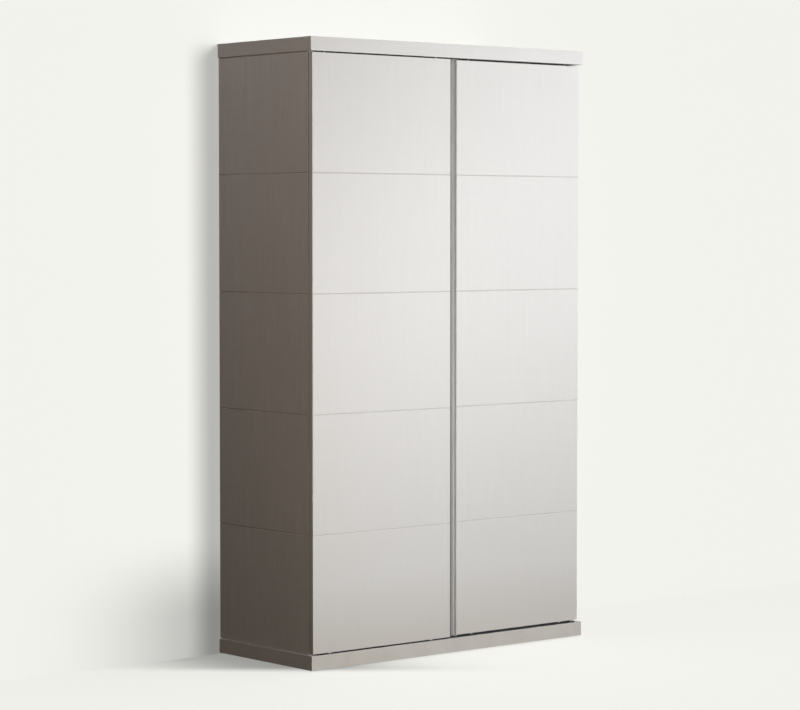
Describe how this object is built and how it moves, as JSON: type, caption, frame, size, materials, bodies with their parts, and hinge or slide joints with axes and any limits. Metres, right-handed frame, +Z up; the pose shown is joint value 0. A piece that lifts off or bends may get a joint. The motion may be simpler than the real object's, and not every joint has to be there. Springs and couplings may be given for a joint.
{
  "type": "sliding door wardrobe",
  "caption": "Tall white wardrobe whose two grooved doors roll past each other on a two-track rail, with a recessed metal grip strip, hanging rail and shelves inside.",
  "frame": {"origin": "on the floor, under the middle of the wardrobe's box", "axes": "+Z up, +X to the right seen from the front, -Y out of the doors"},
  "size_m": [1.265, 0.53, 2.15],
  "materials": {
    "white_board": "white laminate with a very fine grain, satin",
    "inside_board": "plain white laminate, matt",
    "back_board": "thin white painted fibreboard",
    "satin_aluminium": "satin anodised, grey",
    "rail_aluminium": "black anodised, drawn lines",
    "bright_steel": "bright plated",
    "white_nylon": "matt moulded nylon",
    "black_plastic": "matt moulded, lightly textured",
    "black_rubber": "soft matt rubber"
  },
  "bodies": {
    "carcass": {"top_panel": "white_board", "base_panel": "white_board", "left_side_panel": "white_board", "right_side_panel": "white_board", "centre_divider": "inside_board", "hat_shelf": "inside_board", "upper_shelf": "inside_board", "shelf_1": "inside_board", "shelf_2": "inside_board", "shelf_3": "inside_board", "shelf_4": "inside_board", "left_back_panel": "back_board", "right_back_panel": "back_board", "back_joint_strip": "black_plastic", "bottom_running_rail": "rail_aluminium", "top_guide_rail": "rail_aluminium", "hanging_rail": "bright_steel", "rail_support_left": "white_nylon", "rail_support_right": "white_nylon", "foot_front_left": "black_plastic", "foot_front_right": "black_plastic", "foot_rear_left": "black_plastic", "foot_rear_right": "black_plastic", "outer_stop_left": "black_rubber", "outer_stop_right": "black_rubber", "inner_stop_left": "black_rubber", "inner_stop_right": "black_rubber"},
    "left_door": {"left_door_panel": "white_board", "left_door_wheel_carrier_left": "black_plastic", "left_door_axle_left": "bright_steel", "left_door_guide_block_left": "black_plastic", "left_door_guide_pin_left": "white_nylon", "left_door_wheel_carrier_right": "black_plastic", "left_door_axle_right": "bright_steel", "left_door_guide_block_right": "black_plastic", "left_door_guide_pin_right": "white_nylon"},
    "left_door_wheel_left": {"left_door_wheel_left": "white_nylon"},
    "left_door_wheel_right": {"left_door_wheel_right": "white_nylon"},
    "right_door": {"right_door_panel": "white_board", "right_door_wheel_carrier_left": "black_plastic", "right_door_axle_left": "bright_steel", "right_door_guide_block_left": "black_plastic", "right_door_guide_pin_left": "white_nylon", "right_door_wheel_carrier_right": "black_plastic", "right_door_axle_right": "bright_steel", "right_door_guide_block_right": "black_plastic", "right_door_guide_pin_right": "white_nylon", "grip_wall_left": "satin_aluminium", "grip_floor": "satin_aluminium", "grip_wall_right": "satin_aluminium"},
    "right_door_wheel_left": {"right_door_wheel_left": "white_nylon"},
    "right_door_wheel_right": {"right_door_wheel_right": "white_nylon"}
  },
  "joints": [
    {"name": "left_door_slide", "type": "slide", "parent": "carcass", "child": "left_door", "axis": [1, 0, 0], "range_m": [0, 0.61]},
    {"name": "right_door_slide", "type": "slide", "parent": "carcass", "child": "right_door", "axis": [1, 0, 0], "range_m": [-0.56, 0]},
    {"name": "left_door_wheel_left_spin", "type": "hinge", "parent": "left_door", "child": "left_door_wheel_left", "pos_m": [-0.5485, -0.2525, 0.0672], "axis": [0, 1, 0], "continuous": true},
    {"name": "left_door_wheel_right_spin", "type": "hinge", "parent": "left_door", "child": "left_door_wheel_right", "pos_m": [-0.092, -0.2525, 0.0672], "axis": [0, 1, 0], "continuous": true},
    {"name": "right_door_wheel_left_spin", "type": "hinge", "parent": "right_door", "child": "right_door_wheel_left", "pos_m": [0.1182, -0.23, 0.0672], "axis": [0, 1, 0], "continuous": true},
    {"name": "right_door_wheel_right_spin", "type": "hinge", "parent": "right_door", "child": "right_door_wheel_right", "pos_m": [0.55, -0.23, 0.0672], "axis": [0, 1, 0], "continuous": true}
  ],
  "couplings": [
    {"joint": "left_door_wheel_left_spin", "follows": "left_door_slide", "rad_per_m": 111.11},
    {"joint": "left_door_wheel_right_spin", "follows": "left_door_slide", "rad_per_m": 111.11},
    {"joint": "right_door_wheel_left_spin", "follows": "right_door_slide", "rad_per_m": 111.11},
    {"joint": "right_door_wheel_right_spin", "follows": "right_door_slide", "rad_per_m": 111.11}
  ]
}
